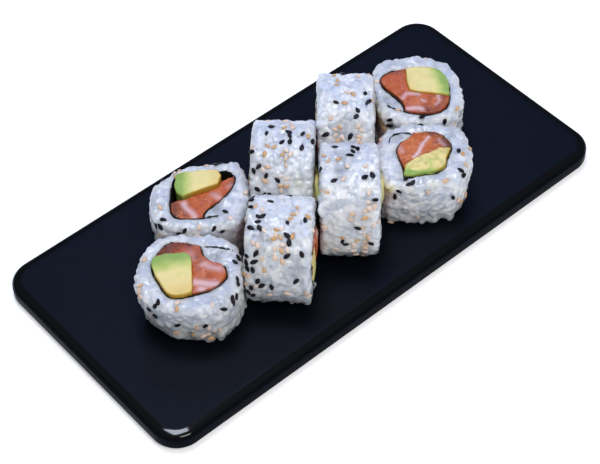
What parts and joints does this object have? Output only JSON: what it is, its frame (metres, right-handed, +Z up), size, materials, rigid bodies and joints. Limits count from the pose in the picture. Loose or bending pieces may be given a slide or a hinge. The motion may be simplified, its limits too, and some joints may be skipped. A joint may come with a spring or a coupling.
{
  "type": "uramaki roll",
  "caption": "Cut inside-out sushi roll of rice, nori, salmon and avocado with black and toasted sesame, pieces upright and on their sides, on a black rectangular plate with round corners.",
  "frame": {"origin": "middle of the plate's underside", "axes": "+X along the plate's length, +Y across it towards the back row, +Z up"},
  "size_m": [0.25, 0.119, 0.0534],
  "materials": {
    "plate_glaze": "satin black glaze, smooth flat top, glossier edge",
    "rice": null,
    "nori": null,
    "salmon": null,
    "avocado": null,
    "black_sesame": null,
    "toasted_sesame": null
  },
  "bodies": {
    "root": {"plate": "plate_glaze", "rice_back_1": "rice", "nori_back_1": "nori", "salmon_back_1": "salmon", "avocado_back_1": "avocado", "rice_back_2": "rice", "nori_back_2": "nori", "salmon_back_2": "salmon", "avocado_back_2": "avocado", "rice_back_3": "rice", "nori_back_3": "nori", "salmon_back_3": "salmon", "avocado_back_3": "avocado", "rice_back_4": "rice", "nori_back_4": "nori", "salmon_back_4": "salmon", "avocado_back_4": "avocado", "rice_front_1": "rice", "nori_front_1": "nori", "salmon_front_1": "salmon", "avocado_front_1": "avocado", "rice_front_2": "rice", "nori_front_2": "nori", "salmon_front_2": "salmon", "avocado_front_2": "avocado", "rice_front_3": "rice", "nori_front_3": "nori", "salmon_front_3": "salmon", "avocado_front_3": "avocado", "rice_front_4": "rice", "nori_front_4": "nori", "salmon_front_4": "salmon", "avocado_front_4": "avocado"}
  },
  "joints": []
}
